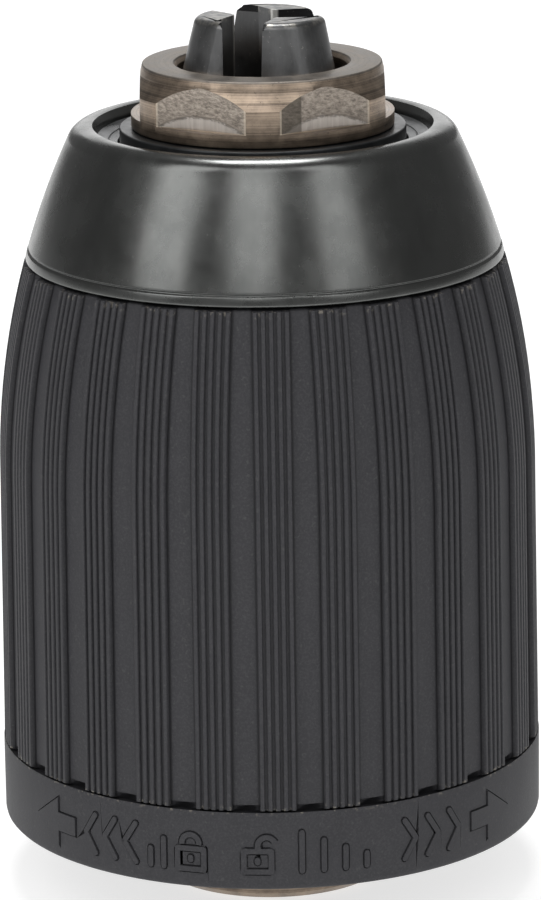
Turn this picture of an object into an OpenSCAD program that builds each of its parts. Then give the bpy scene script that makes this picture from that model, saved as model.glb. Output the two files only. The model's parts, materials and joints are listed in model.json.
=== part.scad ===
// Keyless drill chuck with one grip sleeve, a bearing-mounted split nut and three sliding jaws.
// Millimetres. Z is the spindle axis: z = 0 is the rear face of the hub, +Z points to the jaws.
// Turning the sleeve against the hub turns the nut, whose thread drives the leaning jaws.

/* [Overall] */
// Length of the body from its rear face to its nose face
body_len = 65.5; // [62:0.5:80]
// Diameter of the grip sleeve over its rear band
sleeve_d = 43; // [42:0.5:52]
// How far the hub stands out behind the sleeve
tail_out = 5.1; // [3.5:0.1:7]
// Chamfer of the hub's and the nose's edges
body_edge = 0.5; // [0.3:0.1:0.8]

/* [Spindle end] */
// Bore of the spindle socket, the major diameter of its 1/2-20 thread
socket_d = 12.7; // [10:0.1:15.5]
// Depth of the spindle socket
socket_depth = 16; // [12:0.5:18]
// Wall of the hub around the socket
hub_wall = 3.45; // [2.6:0.05:4]
// Clearance hole for the spindle retaining screw
screw_hole_d = 6.6; // [5:0.1:8]
// Thickness of the web that the retaining screw clamps
web_t = 10.5; // [8:0.5:11]

/* [Nose] */
// Diameter of the nose
nose_d = 20.5; // [19.8:0.1:21.4]
// Height of the nose
nose_h = 4.95; // [4.5:0.05:6]
// Height of the straight part of the nose
nose_straight_h = 2.85; // [2:0.05:3.2]
// Height of the steeper band between the nose's taper and its front face
nose_top_h = 0.8; // [0.4:0.1:1.2]
// Slope of that band, measured across the radius
nose_top_in = 0.2; // [0.1:0.05:0.4]
// Depth of the neck behind the nose
neck_in = 0.65; // [0.4:0.05:0.9]
// Bore that the tool shank enters
bore_d = 13.2; // [12:0.1:14.5]
// Chamfer of the bore's mouth
bore_edge = 0.3; // [0.2:0.1:0.5]
// Thickness of the black ring behind the nose flange
nose_ring_t = 1.8; // [1.4:0.1:2]
// Width of that ring round the neck
nose_ring_w = 1.57; // [1.2:0.01:1.7]
// Width across the flats of the nose's hexagon
hex_af = 18.9; // [18:0.1:19.4]
// Height of the hexagon's lower end above the nose's rear face
hex_rise = 1.05; // [0.6:0.05:1.6]

/* [Jaws] */
// Diameter of each jaw
jaw_d = 8; // [6.6:0.1:8.6]
// Lean of the jaws from the axis
jaw_lean = 15; // [13:0.5:16]
// Length of a jaw along its own axis
jaw_len = 38; // [34:0.5:40]
// Distance of a jaw's own axis from the chuck axis at the nose face
jaw_axis_nose = 2; // [1.6:0.1:2.4]
// Diameter of the circle between the gripping edges at rest
rest_opening = 4.2; // [2:0.1:6]
// How far the jaw tips stand out of the nose at rest
tip_out = 3.65; // [2:0.05:6]
// Width of the flat gripping edge
edge_w = 0.27; // [0.1:0.01:0.6]
// Turn of a jaw's gripping edge back from its rod's direction
edge_turn = 16; // [0:1:20]
// Angle between the edge's direction and the cut side of the wedge
cut_side_angle = 50; // [45:1:60]
// Length of the wedge's other side, which ends at a shoulder
ground_side_w = 2.1; // [1.5:0.1:2.6]
// Bevel of the rear end of a jaw
jaw_rear_bevel = 1; // [0.4:0.1:1.6]
// Direction of the first jaw's rod about the axis
first_jaw_angle = 78; // [0:1:119]

/* [Jaw thread] */
// Pitch of the thread along a jaw
thread_pitch = 3; // [2.4:0.1:3.6]
// Depth of the nut's thread below the jaw surface
thread_depth = 0.9; // [0.6:0.05:1.1]
// Width of the nut's thread at its root
thread_root_w = 1.4; // [1:0.05:1.5]
// Width of the nut's thread at its crest
thread_crest_w = 0.8; // [0.5:0.05:0.9]
// Clearance all round between jaw thread and nut thread
thread_gap = 0.25; // [0.2:0.01:0.3]
// Length of each jaw ahead of its first tooth
plain_len = 8.8; // [7:0.1:12]

/* [Nut and bearing] */
// Distance of the nut's front face below the nose face
nut_below_nose = 20.5; // [20:0.1:22]
// Height of the split nut
nut_h = 9.5; // [8:0.5:11.5]
// Height of the nut's seating flange
nut_flange_h = 2; // [1.5:0.1:3]
// Wall of the nut outside the jaws
nut_wall = 1.9; // [1.6:0.1:2.2]
// Wall of the band that holds the nut together
band_wall = 1.2; // [0.8:0.1:1.4]
// Wall of the band's skirt round the bearing
skirt_wall = 0.75; // [0.5:0.05:1]
// Height of the band's step over the nut's flange
band_step_h = 1.2; // [0.8:0.1:1.6]
// Diameter of the bearing balls
ball_d = 2; // [1.6:0.1:2.4]
// Number of bearing balls
ball_count = 28; // [12:1:36]
// Thickness of each bearing race
race_t = 1; // [0.8:0.1:1.4]
// Thickness of the ball cage
cage_t = 0.8; // [0.5:0.1:1.2]
// Thickness of the body's thrust flange
flange_t = 4.5; // [3.5:0.5:6]
// Wall of the thrust flange outside the jaw passages
flange_wall = 1.7; // [1.2:0.1:2]
// Depth of the body's core below the outside of the jaws at the nut's front
core_depth = 1.334; // [1.2:0.002:1.5]

/* [Lock] */
// Diameter of the body ahead of the nut
barrel_d = 24.4; // [24:0.1:25]
// Number of teeth round the ratchet ring
ratchet_teeth = 60; // [60:60:120]
// Depth of the ratchet teeth
ratchet_depth = 0.75; // [0.5:0.05:0.9]
// Diameter over the ratchet teeth
ratchet_d = 30.1; // [29:0.1:30.4]
// Height of the ratchet ring and the pawls
lock_h = 2.2; // [1.6:0.1:2.3]
// Thickness of the plate that carries the pawls
plate_t = 1; // [0.8:0.1:1]
// Diameter of a pawl's pin
pawl_pin_d = 1.1; // [0.8:0.1:1.2]
// Width of a pawl across its bend
pawl_w = 1.45; // [1.2:0.05:1.6]
// Angle that a pawl spans from its pin to its nose
pawl_span = 42; // [36:1:46]
// Angle that the sleeve turns on the nut as it locks
lock_turn = 12; // [10:1:14]
// Wall of the cam ring between its lobes
cam_wall = 0.55; // [0.4:0.05:0.7]
// Radius of the cam ring's lobes
lobe_r = 2.5; // [2:0.1:3]
// Diameter of the detent wire
detent_wire_d = 0.7; // [0.5:0.05:0.8]

/* [Sleeve] */
// Height of the plain band at the rear of the sleeve
band_h = 6.4; // [5:0.1:8]
// Wall of the sleeve's front edge outside the cam ring
sleeve_lip = 0.95; // [0.8:0.05:1.2]
// Number of grip rib groups
rib_groups = 27; // [18:1:30]
// Width of a rib group
rib_group_w = 3; // [2:0.1:3.6]
// Direction of the first rib group's middle about the axis
first_rib_angle = -88.8; // [-90:0.1:0]
// Depth of the channels between rib groups
channel_depth = 0.45; // [0.2:0.05:0.5]
// Radius of the crowned outline of sleeve and collar
crown_radius = 62.7; // [55:0.1:80]
// Distance of the crown's start below the nose face
crown_below_nose = 32.5; // [30:0.5:34]
// Wall of the steel liner in the sleeve
liner_wall = 0.42; // [0.3:0.02:0.5]
// Height of the step inside the sleeve above the nut's flange
sleeve_step_rise = 2.5; // [1.5:0.1:3]
// Thickness of the rear cover
cover_t = 1.4; // [1:0.1:2]
// How far the rear cover is sunk into the sleeve
cover_sunk = 0.4; // [0.2:0.1:1]
// Width of the clip that holds the sleeve on the hub
clip_w = 1; // [0.8:0.1:1.4]
// How far the clip stands out of the hub
clip_out = 1.2; // [0.8:0.1:1.5]
// Depth of the clip's groove
clip_groove = 0.5; // [0.3:0.05:0.7]

/* [Collar] */
// Distance of the collar's lower edge below the nose face
collar_below_nose = 15.1; // [14.5:0.1:15.6]
// Distance of the collar's rim below the nose face
rim_below_nose = 4.8; // [4.4:0.1:5.2]
// Dark gap between the sleeve and the collar
collar_gap = 0.4; // [0.2:0.05:0.6]
// Wall of the collar
collar_wall = 1.5; // [1.1:0.1:1.8]
// Height of the bead along the collar's lower edge
bead_h = 0.8; // [0.5:0.1:1.2]
// Depth of the groove over that bead
bead_depth = 0.15; // [0.1:0.01:0.2]
// Width of the rounded rim at the top of the collar
rim_w = 2.1; // [1.6:0.1:2.6]
// Height of the rounding on that rim
rim_h = 1.1; // [0.8:0.1:1.4]
// Depth of the bright washer below the rim
washer_sunk = 0.9; // [0.6:0.1:1.2]
// Thickness of that washer
washer_t = 1.1; // [0.8:0.1:1.3]

/* [Clearances] */
// Radial clearance of a turning or sliding fit
run_gap = 0.06; // [0.02:0.01:0.1]
// Clearance between parts that only pass each other
free_gap = 0.2; // [0.12:0.01:0.3]

/* [Hidden] */
$fn = 96;
eps = 0.5;

// Radii of the spindle end and the nose
hub_r = socket_d / 2 + hub_wall;
nose_r = nose_d / 2;
nose_top_r = hex_af / 2 + 0.05;
neck_r = nose_r - neck_in;
barrel_r = barrel_d / 2;

// Levels from the nose backwards
rim_z = body_len - rim_below_nose;
collar_z = body_len - collar_below_nose;
sleeve_top_z = collar_z - collar_gap;
nose_z0 = body_len - nose_h;
nut_z1 = body_len - nut_below_nose;
nut_z0 = nut_z1 - nut_h;
nut_flange_z1 = nut_z0 + nut_flange_h;
front_race_z = nut_z0 - race_t;
ball_gap = 0.01;
ball_z = front_race_z - ball_d / 2 - ball_gap;
rear_race_z1 = ball_z - ball_d / 2 - ball_gap;
flange_z1 = rear_race_z1 - race_t;
flange_z0 = flange_z1 - flange_t;
gusset_h = 6;
ring_seat_gap = 0.05;
nose_ring_z = nose_z0 - ring_seat_gap - nose_ring_t;
neck_z0 = nose_ring_z - free_gap;
bore_floor_z = socket_depth + web_t;
plate_z1 = nut_z1 + plate_t;
barrel_z0 = plate_z1 + free_gap;
lock_z0 = barrel_z0 + free_gap;
lock_z1 = lock_z0 + lock_h;
crown_z = body_len - crown_below_nose;
band_z1 = tail_out + band_h;
cover_z0 = tail_out + cover_sunk;
clip_z0 = cover_z0 + cover_t + free_gap;
sleeve_step_z = nut_flange_z1 + sleeve_step_rise;

// Jaw geometry: a jaw's axis leans outwards towards the rear
jaw_r = jaw_d / 2;
jaw_slide_gap = 0.05;
jaw_guide_r = jaw_r + jaw_slide_gap;
tip_z = body_len + tip_out;
function jaw_axis_r(z) = jaw_axis_nose + (body_len - z) * tan(jaw_lean);
function jaw_out_r(z) = jaw_axis_r(z) + jaw_r / cos(jaw_lean);
function jaw_angle(i) = first_jaw_angle + 120 * i;
tip_along = tip_out / cos(jaw_lean);

// Thread geometry: both threads follow the line along the outside of the jaws
thread_z = (nut_z0 + nut_z1) / 2;
thread_r = jaw_out_r(thread_z);
axial_pitch = thread_pitch * cos(jaw_lean);
lead_angle = atan(axial_pitch / (2 * PI * thread_r));
tip_to_thread = (tip_z - thread_z) / cos(jaw_lean);
ridge_sink = 0.3;
nut_bore_gap = 0.3;
// A point of a thread section: out is square to the cone, along runs down it
function cone_point(r, z, out, along) = [
  r + out * cos(jaw_lean) + along * sin(jaw_lean),
  z + out * sin(jaw_lean) - along * cos(jaw_lean)];

// Sleeve outline: a slight taper from the band, then one arc over sleeve and collar
sleeve_r = sleeve_d / 2;
rib_r = sleeve_r - 0.05;
crown_r = sleeve_r - 0.3;
function outline_r(z) = z <= crown_z
  ? rib_r - (rib_r - crown_r) * (z - band_z1) / (crown_z - band_z1)
  : crown_r - crown_radius + sqrt(pow(crown_radius, 2) - pow(z - crown_z, 2));

// Radii of the core, the nut, the bearing and the sleeve's inside
core_r = jaw_out_r(nut_z1) - core_depth;
nut_r = jaw_out_r(nut_flange_z1) + nut_wall;
flange_r = jaw_out_r(flange_z0) + flange_wall;
race_step = 0.1;
race_jaw_gap = 0.35;
cage_jaw_gap = 0.25;
race_r1 = flange_r - race_step;
race_r0 = jaw_out_r(flange_z1) + race_jaw_gap;
skirt_r0 = flange_r + run_gap;
cage_r0 = jaw_out_r(ball_z - cage_t / 2) + cage_jaw_gap;
cage_r1 = skirt_r0 - race_step;
ball_ring_r = (cage_r0 + cage_r1) / 2;
skirt_r1 = skirt_r0 + skirt_wall;
liner_r0 = skirt_r1 + run_gap;
liner_r1 = liner_r0 + liner_wall;
band_r1 = nut_r + band_wall;
cam_r1 = outline_r(sleeve_top_z) - sleeve_lip;
cam_r0 = cam_r1 - cam_wall;

// Lock geometry
ratchet_r = ratchet_d / 2;
tooth_angle = 360 / ratchet_teeth;
tooth_slope = 0.95;
tooth_lead_angle = 1.9;
pawl_pin_r = pawl_pin_d / 2;
pawl_rest_gap = 0.3;
pawl_axis_inset = 0.08;
lobe_press = 0.43;
lobe_back_angle = 2;
pawl_r1 = cam_r0 - pawl_rest_gap;
pawl_r0 = pawl_r1 - pawl_w;
pawl_axis_r = (pawl_r0 + pawl_r1) / 2 - pawl_axis_inset;
pawl_nose_r = ratchet_r + free_gap;
pawl_angle_a = 0;
pawl_angle_b = 180;
plate_r1 = cam_r0 + 0.05;
cam_ring_z = lock_z0 - 0.1;
cam_ring_h = lock_h + 0.6;

// The dished washer in the collar's mouth
washer_gap = 0.13;
washer_dish = 0.45;
rim_overhang = 0.2;
washer_z0 = rim_z - washer_sunk - washer_t;
washer_r1 = outline_r(rim_z - rim_h) - rim_w - rim_overhang;
washer_r0 = neck_r + nose_ring_w + washer_gap;

// Points of the crowned outline between two levels, moved inwards by a depth
function crown_points(z0, z1, n, depth) =
  [for (i = [0:n]) let (z = z0 + (z1 - z0) * i / n) [outline_r(z) - depth, z]];

// Ring between two radii
module ring(r0, r1, h) {
  difference() {
    cylinder(r = r1, h = h);
    translate([0, 0, -eps]) cylinder(r = r0, h = h + 2 * eps);
  }
}

// Rod along a jaw's own axis, from and to distances ahead of the nose face
module jaw_axis_rod(from, to, r) {
  translate([jaw_axis_nose, 0, body_len]) rotate([0, -jaw_lean, 0])
    translate([0, 0, from]) cylinder(r = r, h = to - from);
}

// The space beside one flat of the nose's hexagon
module hex_flat() {
  translate([hex_af / 2, -nose_r / 2, nose_z0 + hex_rise]) cube([nose_r, nose_r, nose_h]);
}

module chuck_body() {
  color("#5a5148") difference() {
    rotate_extrude() polygon([
      [0, 0], [hub_r - body_edge, 0], [hub_r, body_edge],
      [hub_r, clip_z0], [hub_r - clip_groove, clip_z0],
      [hub_r - clip_groove, clip_z0 + clip_w], [hub_r, clip_z0 + clip_w],
      [hub_r, flange_z0 - gusset_h], [flange_r, flange_z0], [flange_r, flange_z1],
      [core_r, flange_z1], [core_r, barrel_z0], [barrel_r, barrel_z0],
      [barrel_r, neck_z0], [neck_r, neck_z0],
      [neck_r, nose_z0], [nose_r, nose_z0],
      [nose_r, nose_z0 + nose_straight_h], [nose_top_r, body_len - nose_top_h],
      [nose_top_r - nose_top_in, body_len], [0, body_len]]);
    translate([0, 0, -eps]) cylinder(d = socket_d, h = socket_depth + eps);
    translate([0, 0, -eps])
      cylinder(d1 = socket_d + 2 * (body_edge + eps), d2 = socket_d, h = body_edge + eps);
    cylinder(d = screw_hole_d, h = body_len);
    translate([0, 0, bore_floor_z]) cylinder(d = bore_d, h = body_len);
    translate([0, 0, body_len - bore_edge])
      cylinder(d1 = bore_d, d2 = bore_d + 2 * (bore_edge + eps), h = bore_edge + eps);
    for (i = [0:2]) rotate(jaw_angle(i)) jaw_axis_rod(-body_len, 10, jaw_guide_r);
    for (a = [0:60:300]) rotate(a) hex_flat();
  }
}

module nose_ring() {
  color("#16181a") translate([0, 0, nose_ring_z])
    ring(neck_r, neck_r + nose_ring_w, nose_ring_t);
}

// Saw-toothed ring: each tooth's steep face looks clockwise, so the nut can't turn back
module ratchet_ring() {
  steep_at = pawl_span + tooth_lead_angle;
  root_r = ratchet_r - ratchet_depth;
  color("#6d6f72") translate([0, 0, lock_z0]) difference() {
    rotate(steep_at) linear_extrude(height = lock_h) polygon([
      for (i = [0:ratchet_teeth - 1], k = [0, 1])
        let (a = (i + k * tooth_slope) * tooth_angle, r = k == 0 ? ratchet_r : root_r)
        [r * cos(a), r * sin(a)]]);
    translate([0, 0, -eps]) cylinder(r = barrel_r, h = lock_h + 2 * eps);
  }
}

module bearing_rear_race() {
  color("#a9adb0") translate([0, 0, flange_z1]) ring(race_r0, race_r1, race_t);
}

module bearing_front_race() {
  color("#a9adb0") translate([0, 0, front_race_z]) ring(race_r0, race_r1, race_t);
}

module bearing_balls() {
  color("#d8dadc") for (i = [0:ball_count - 1])
    rotate(i * 360 / ball_count) translate([ball_ring_r, 0, ball_z]) sphere(d = ball_d);
}

module bearing_cage() {
  color("#b08d4a") translate([0, 0, ball_z - cage_t / 2]) difference() {
    ring(cage_r0, cage_r1, cage_t);
    for (i = [0:ball_count - 1]) rotate(i * 360 / ball_count)
      translate([ball_ring_r, 0, -eps]) cylinder(d = ball_d + 0.04, h = cage_t + 2 * eps, $fn = 32);
  }
}

// Thread ridge inside the nut: one right-hand sweep down the cone
module nut_ridge() {
  steps_per_turn = 30;
  end_gap = 0.25;
  half_rise = nut_h / 2 - thread_root_w / 2 - end_gap;
  n = floor(2 * half_rise / axial_pitch * steps_per_turn);
  start = -half_rise / axial_pitch * 360;
  function ridge_section(i) = let (
      a = start + i * 360 / steps_per_turn,
      z = thread_z + axial_pitch * a / 360,
      r = jaw_out_r(z))
    [for (p = [cone_point(r, z, nut_bore_gap + ridge_sink, -thread_root_w / 2),
        cone_point(r, z, nut_bore_gap + ridge_sink, thread_root_w / 2),
        cone_point(r, z, -thread_depth, thread_crest_w / 2),
        cone_point(r, z, -thread_depth, -thread_crest_w / 2)])
      [p[0] * cos(a), p[0] * sin(a), p[1]]];
  points = [for (i = [0:n]) each ridge_section(i)];
  sides = [for (i = [0:n - 1], k = [0:3]) let (b = 4 * i, c = (k + 1) % 4)
    each [[b + k, b + 4 + c, b + c], [b + k, b + 4 + k, b + 4 + c]]];
  polyhedron(points, concat(sides, [[0, 2, 3], [0, 1, 2]],
    [[4 * n, 4 * n + 2, 4 * n + 1], [4 * n, 4 * n + 3, 4 * n + 2]]));
}

module split_nut() {
  rotate_extrude() polygon([
    [jaw_out_r(nut_z0) + nut_bore_gap, nut_z0], [race_r1, nut_z0], [race_r1, nut_flange_z1],
    [nut_r, nut_flange_z1], [nut_r, nut_z1], [jaw_out_r(nut_z1) + nut_bore_gap, nut_z1]]);
  nut_ridge();
}

module nut_half(side) {
  size = 2 * sleeve_d;
  color("#8d8a84") intersection() {
    split_nut();
    translate([-size / 2, side > 0 ? 0 : -size / 2, nut_z0 - eps])
      cube([size, size / 2, nut_h + 2 * eps]);
  }
}

// Band pressed round the nut, with a skirt that turns on the thrust flange
module nut_band() {
  skirt_z0 = flange_z0 + 0.8;
  step_z = nut_flange_z1 + band_step_h;
  color("#77797b") rotate_extrude() polygon([
    [skirt_r0, skirt_z0], [skirt_r1, skirt_z0], [skirt_r1, step_z],
    [band_r1, step_z], [band_r1, nut_z1], [nut_r, nut_z1],
    [nut_r, nut_flange_z1], [skirt_r0, nut_flange_z1]]);
}

module lock_plate() {
  color("#85878a") difference() {
    translate([0, 0, nut_z1]) ring(barrel_r + free_gap, plate_r1, plate_t);
    rotate_extrude() translate([plate_r1, nut_z1 + plate_t / 2]) circle(d = detent_wire_d + 0.04);
    for (a = [pawl_angle_a, pawl_angle_b]) rotate(a)
      translate([pawl_axis_r, 0, nut_z1 - eps]) cylinder(r = pawl_pin_r, h = plate_t + 2 * eps);
  }
}

module pawl_pins() {
  color("#c0c2c4") for (a = [pawl_angle_a, pawl_angle_b]) rotate(a)
    translate([pawl_axis_r, 0, nut_z1]) cylinder(r = pawl_pin_r, h = lock_z1 - nut_z1);
}

// Spring wire with an open gap, snapped into the edge of the lock plate
module detent_spring() {
  color("#9a9c9e") rotate([0, 0, 20]) rotate_extrude(angle = 320)
    translate([plate_r1, nut_z1 + plate_t / 2]) circle(d = detent_wire_d);
}

// Curved lever: an eye on its pin at one end and a nose for the ratchet at the other
module pawl(angle) {
  side_gap = 0.05;
  pin_gap = 0.05;
  eye_wall = 0.4;
  nose_root_r = pawl_r0 + 0.3;
  nose_root_angle = 3.2;
  nose_tip_angle = 1.2;
  h = lock_h - 2 * side_gap;
  color("#5f6164") rotate(angle) translate([0, 0, lock_z0 + side_gap]) difference() {
    union() {
      translate([pawl_axis_r, 0, 0]) cylinder(r = pawl_pin_r + eye_wall, h = h);
      rotate_extrude(angle = pawl_span) translate([pawl_r0, 0]) square([pawl_w, h]);
      linear_extrude(height = h) polygon([
        for (p = [[pawl_nose_r, pawl_span], [nose_root_r, pawl_span],
            [nose_root_r, pawl_span - nose_root_angle],
            [pawl_nose_r, pawl_span - nose_tip_angle]])
          [p[0] * cos(p[1]), p[0] * sin(p[1])]]);
    }
    translate([pawl_axis_r, 0, -eps]) cylinder(r = pawl_pin_r + pin_gap, h = lock_h + 2 * eps);
  }
}

// Ring inside the sleeve whose two lobes press the pawls into the ratchet
module cam_ring() {
  lobe_axis_r = pawl_r1 - lobe_press + lobe_r;
  lobe_angle = pawl_span - lobe_back_angle + lock_turn;
  color("#6b6d70") translate([0, 0, cam_ring_z]) {
    ring(cam_r0, cam_r1, cam_ring_h);
    intersection() {
      ring(pawl_r0, cam_r1 - 0.1, cam_ring_h);
      for (a = [pawl_angle_a, pawl_angle_b]) rotate(a + lobe_angle)
        translate([lobe_axis_r, 0, 0]) cylinder(r = lobe_r, h = cam_ring_h);
    }
  }
}

module sleeve_liner() {
  rear_gap = 0.5;
  z0 = flange_z0 + rear_gap;
  color("#808285") translate([0, 0, z0]) ring(liner_r0, liner_r1, sleeve_step_z - z0);
}

// Plastic grip: a plain band, then groups of ribs that stand out of a crowned barrel
module grip_sleeve() {
  edge = 0.4;
  rib_root_r = cam_r1 + 0.1;
  rib_z0 = band_z1 - 0.5;
  arc_z0 = crown_z + 2;
  color("#3a3b3e") difference() {
    union() {
      rotate_extrude() polygon(concat(
        [[0, tail_out], [sleeve_r - edge, tail_out], [sleeve_r, tail_out + edge],
          [sleeve_r, band_z1]],
        crown_points(band_z1, crown_z, 1, channel_depth),
        crown_points(arc_z0, sleeve_top_z, 6, channel_depth),
        [[0, sleeve_top_z]]));
      intersection() {
        rotate_extrude() polygon(concat(
          [[rib_root_r, rib_z0], [rib_r, rib_z0]],
          crown_points(band_z1, crown_z, 1, 0),
          crown_points(arc_z0, sleeve_top_z, 6, 0),
          [[rib_root_r, sleeve_top_z]]));
        for (i = [0:rib_groups - 1]) rotate(first_rib_angle + i * 360 / rib_groups)
          translate([cam_r1, -rib_group_w / 2, rib_z0])
            cube([sleeve_r, rib_group_w, body_len]);
      }
    }
    translate([0, 0, tail_out - eps]) cylinder(r = liner_r1, h = sleeve_step_z - tail_out + eps);
    translate([0, 0, sleeve_step_z]) cylinder(r = cam_r1, h = body_len);
  }
}

// Steel collar that closes the front: its outline carries on the sleeve's crown
module front_collar() {
  spigot_z = cam_ring_z + cam_ring_h;
  spigot_r0 = cam_r1 - 1.3;
  round_z = rim_z - rim_h;
  rim_out = outline_r(round_z);
  rim_round = 1.45;
  groove_z = collar_z + bead_h + 0.2;
  color("#1b1d1f") rotate_extrude() polygon(concat(
    [[spigot_r0, spigot_z], [cam_r1, spigot_z], [cam_r1, collar_z],
      [outline_r(collar_z), collar_z], [outline_r(collar_z + bead_h), collar_z + bead_h],
      [outline_r(groove_z) - bead_depth, groove_z]],
    crown_points(groove_z + 0.2, round_z, 6, 0),
    [for (a = [30:30:90]) [rim_out - rim_round * (1 - cos(a)), round_z + rim_h * sin(a)]],
    [[washer_r1 + 0.35, rim_z - 0.2], [washer_r1, rim_z - washer_sunk], [washer_r1, washer_z0],
      [outline_r(washer_z0) - collar_wall, washer_z0],
      [outline_r(groove_z) - collar_wall, groove_z], [spigot_r0, collar_z]]));
}

// Dished washer between the collar's rim and the black ring
module front_washer() {
  mid = (washer_r0 + washer_r1) / 2;
  color("#b9bbb8") rotate_extrude() polygon([
    [washer_r0, washer_z0], [washer_r1, washer_z0], [washer_r1, washer_z0 + washer_t],
    [mid, washer_z0 + washer_t - washer_dish * 2 / 3],
    [washer_r0, washer_z0 + washer_t - washer_dish]]);
}

module rear_cover() {
  color("#2c2d30") translate([0, 0, cover_z0]) ring(hub_r + run_gap, liner_r1, cover_t);
}

module rear_clip() {
  opening = 3;
  color("#a5a7a9") translate([0, 0, clip_z0]) difference() {
    ring(hub_r - clip_groove, hub_r + clip_out, clip_w);
    translate([0, -opening / 2, -eps]) cube([sleeve_d, opening, clip_w + 2 * eps]);
  }
}

// A ring-shaped tooth space, moved along the jaw and tilted by the thread's lead
module tooth_space(along) {
  depth = thread_depth + thread_gap;
  top = 0.8;
  spread = (thread_root_w - thread_crest_w) / 2 * top / thread_depth;
  translate([along * sin(jaw_lean), 0, thread_z - along * cos(jaw_lean)])
    rotate([lead_angle, 0, 0]) rotate_extrude() polygon([
      cone_point(thread_r, 0, top, -thread_root_w / 2 - thread_gap - spread),
      cone_point(thread_r, 0, top, thread_root_w / 2 + thread_gap + spread),
      cone_point(thread_r, 0, -depth, thread_crest_w / 2 + thread_gap),
      cone_point(thread_r, 0, -depth, -thread_crest_w / 2 - thread_gap)]);
}

// A leaning rod whose inner side is cut to a wedge that is upright like the tool. One side of
// the wedge ends at a shoulder, which the cut side of the next jaw leaves room for.
module jaw(i) {
  rear = tip_along - jaw_len;
  reach = sleeve_d;
  edge_x = rest_opening / 2;
  ground_angle = 60;
  shoulder_x = edge_x + ground_side_w * cos(ground_angle);
  phase = -jaw_angle(i) / 360 * thread_pitch;
  first = ceil((plain_len - tip_to_thread - phase) / thread_pitch);
  last = ceil((jaw_len - tip_to_thread - phase) / thread_pitch);
  color("#4c4d4e") rotate(jaw_angle(i)) difference() {
    intersection() {
      union() {
        jaw_axis_rod(rear + jaw_rear_bevel, tip_along + jaw_r, jaw_r);
        translate([jaw_axis_nose, 0, body_len]) rotate([0, -jaw_lean, 0])
          translate([0, 0, rear])
            cylinder(r1 = jaw_r - jaw_rear_bevel, r2 = jaw_r, h = jaw_rear_bevel);
      }
      rotate(-edge_turn) linear_extrude(height = tip_z) polygon([
        [edge_x, -edge_w / 2],
        [edge_x + reach * cos(cut_side_angle), -edge_w / 2 - reach * sin(cut_side_angle)],
        [2 * reach, -reach], [2 * reach, reach], [shoulder_x, reach],
        [shoulder_x, edge_w / 2 + ground_side_w * sin(ground_angle)], [edge_x, edge_w / 2]]);
    }
    for (k = [first:last]) tooth_space(phase + k * thread_pitch);
  }
}

module jaw_a() jaw(0);
module jaw_b() jaw(1);
module jaw_c() jaw(2);
module pawl_a() pawl(pawl_angle_a);
module pawl_b() pawl(pawl_angle_b);
module nut_half_left() nut_half(-1);
module nut_half_right() nut_half(1);

chuck_body();
nose_ring();
ratchet_ring();
bearing_rear_race();
bearing_balls();
bearing_cage();
bearing_front_race();
nut_half_left();
nut_half_right();
nut_band();
lock_plate();
pawl_pins();
pawl_a();
pawl_b();
detent_spring();
sleeve_liner();
cam_ring();
grip_sleeve();
front_collar();
front_washer();
rear_cover();
rear_clip();
jaw_a();
jaw_b();
jaw_c();
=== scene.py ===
"""Keyless drill chuck: the looks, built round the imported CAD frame. Metres, +Z towards the jaws."""
import json
import math

import bpy
import bmesh
from mathutils import Euler, Matrix, Quaternion, Vector


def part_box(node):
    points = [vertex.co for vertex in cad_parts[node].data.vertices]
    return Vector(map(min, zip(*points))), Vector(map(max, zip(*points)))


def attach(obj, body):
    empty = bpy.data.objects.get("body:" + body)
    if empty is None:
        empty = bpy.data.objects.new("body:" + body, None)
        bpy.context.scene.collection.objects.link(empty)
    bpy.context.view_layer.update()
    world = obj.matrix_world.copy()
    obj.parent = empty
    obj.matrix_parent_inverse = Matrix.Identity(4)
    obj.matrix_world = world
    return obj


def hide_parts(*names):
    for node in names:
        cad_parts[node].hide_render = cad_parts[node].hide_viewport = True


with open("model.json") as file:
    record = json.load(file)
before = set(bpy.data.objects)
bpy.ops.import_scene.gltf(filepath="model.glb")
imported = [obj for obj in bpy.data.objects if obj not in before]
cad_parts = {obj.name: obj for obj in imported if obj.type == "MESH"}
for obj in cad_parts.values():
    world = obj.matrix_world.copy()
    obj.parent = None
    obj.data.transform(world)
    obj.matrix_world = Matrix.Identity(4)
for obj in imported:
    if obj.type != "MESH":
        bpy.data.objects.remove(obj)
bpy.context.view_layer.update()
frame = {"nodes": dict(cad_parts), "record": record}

# ---------------------------------------------------------------- sizes, in millimetres
MM = 0.001
BODY_LEN = 65.5              # rear face of the hub to the nose face
HUB_R, SOCKET_R, SCREW_R, BORE_R = 9.8, 6.35, 3.3, 6.6
NOSE_R, NOSE_TOP_R, NECK_R = 10.25, 9.5, 9.6
HEX_OFFSET, HEX_LOW = 9.45, 61.6
JAW_ANGLES = (78.0, 198.0, 318.0)
JAW_LEAN = 15.0
JAW_AXIS_NOSE = 2.0          # a jaw's axis leaves the nose face this far from the chuck's axis
JAW_PASSAGE_R = 4.05
EDGE_TURN = 16.0             # a jaw's gripping edge is turned back from its rod
SLEEVE_R = 21.5
RIB_GROUPS = 27
FIRST_RIB_ANGLE = -88.8
CROWN_RADIUS, CROWN_Z, CROWN_R = 62.7, 33.0, 21.2    # the sleeve's crowned side
BAND_H = 6.4                 # height of the sleeve's plain band
SOCKET_DEPTH, BORE_FLOOR = 16, 26.5
CORE_R, BARREL_R = 10.3, 12.2
FLANGE_LOW_R, FLANGE_R = 18.25, 18.29
NOSE_H = 4.95
RING_R = NECK_R + 1.57       # outside of the black ring behind the nose
RING_GAP = 0.13              # between the black ring and the washer
COVER_R = 19.6               # the rear cover, and the sleeve's bore round it
FRONT_BORE_R, FRONT_BORE_Z = 17.9, 40.0
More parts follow.
